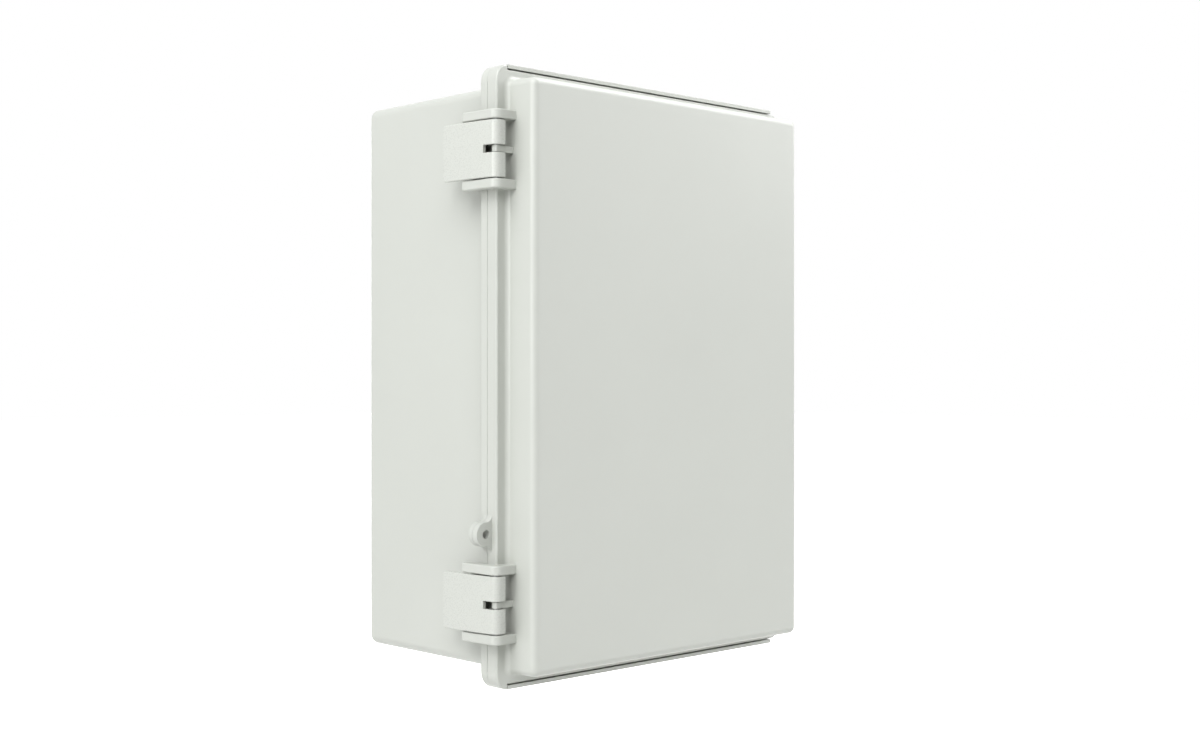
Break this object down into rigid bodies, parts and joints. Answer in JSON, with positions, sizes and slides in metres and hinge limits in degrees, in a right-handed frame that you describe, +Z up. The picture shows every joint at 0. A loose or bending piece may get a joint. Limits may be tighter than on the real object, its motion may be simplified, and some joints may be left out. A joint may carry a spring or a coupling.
{
  "type": "electrical enclosure",
  "caption": "Light grey moulded wall enclosure with a hinged door, snap latches, seal ears, rain lips and a steel mounting plate inside, for housing electrical gear.",
  "frame": {"origin": "centre of the back face, on the wall plane, midway between the wall fixing holes", "axes": "+Z up as hung on a wall, +X to the right seen from the front, +Y into the wall, door facing -Y"},
  "size_m": [0.2682, 0.152, 0.352],
  "materials": {
    "abs_housing": "moulded light grey ABS, fine satin grain",
    "abs_latch": "moulded light grey ABS, smooth satin",
    "gasket_rubber": "dull black sealing rubber",
    "pin_steel": "bright drawn steel",
    "galvanised_sheet": "galvanised sheet with a faint spangle",
    "zinc_plated_steel": "bright zinc plating"
  },
  "bodies": {
    "base": {"base_box": "abs_housing", "mounting_plate": "galvanised_sheet", "mounting_plate_screws": "zinc_plated_steel", "upper_hinge_pin": "pin_steel", "lower_hinge_pin": "pin_steel"},
    "door": {"door": "abs_housing", "door_gasket": "gasket_rubber", "upper_latch_pin": "pin_steel", "lower_latch_pin": "pin_steel"},
    "upper_latch": {"upper_latch": "abs_latch"},
    "lower_latch": {"lower_latch": "abs_latch"}
  },
  "joints": [
    {"name": "door_hinge", "type": "hinge", "parent": "base", "child": "door", "pos_m": [0.1278, -0.1328, 0], "axis": [0, 0, 1], "range_deg": [0, 180]},
    {"name": "upper_latch_pivot", "type": "hinge", "parent": "door", "child": "upper_latch", "pos_m": [-0.1278, -0.1328, 0.1271], "axis": [0, 0, 1], "range_deg": [0, 110]},
    {"name": "lower_latch_pivot", "type": "hinge", "parent": "door", "child": "lower_latch", "pos_m": [-0.1278, -0.1328, -0.1271], "axis": [0, 0, 1], "range_deg": [0, 110]}
  ]
}
